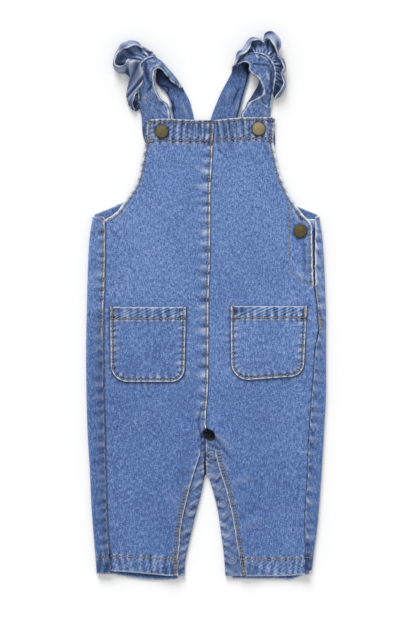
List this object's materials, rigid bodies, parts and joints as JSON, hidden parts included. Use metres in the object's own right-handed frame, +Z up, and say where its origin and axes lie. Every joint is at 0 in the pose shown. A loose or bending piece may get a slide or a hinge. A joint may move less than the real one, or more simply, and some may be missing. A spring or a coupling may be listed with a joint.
{
  "type": "kids dungarees",
  "caption": "Child's blue denim dungarees laid flat, with bib, frilled shoulder straps, patch pockets, side opening and brass snaps.",
  "frame": {"origin": "on the surface that the garment lies on, under the middle of its outline", "axes": "+Y runs from the hems to the straps, +X to the wearer's left, +Z up off the surface"},
  "size_m": [0.2494, 0.5684, 0.0123],
  "materials": {
    "denim": "matte twill, washed",
    "brass": "antique satin"
  },
  "bodies": {
    "root": {"back_right": "denim", "back_left": "denim", "placket_right": "denim", "placket_left": "denim", "side_underlap": "denim", "front_right": "denim", "front_left": "denim", "pocket_right": "denim", "pocket_left": "denim", "strap_right": "denim", "strap_left": "denim", "frill_right": "denim", "frill_left": "denim", "snap_cap_bib_right": "brass", "snap_cap_bib_left": "brass", "snap_cap_side_left": "brass"}
  },
  "joints": []
}
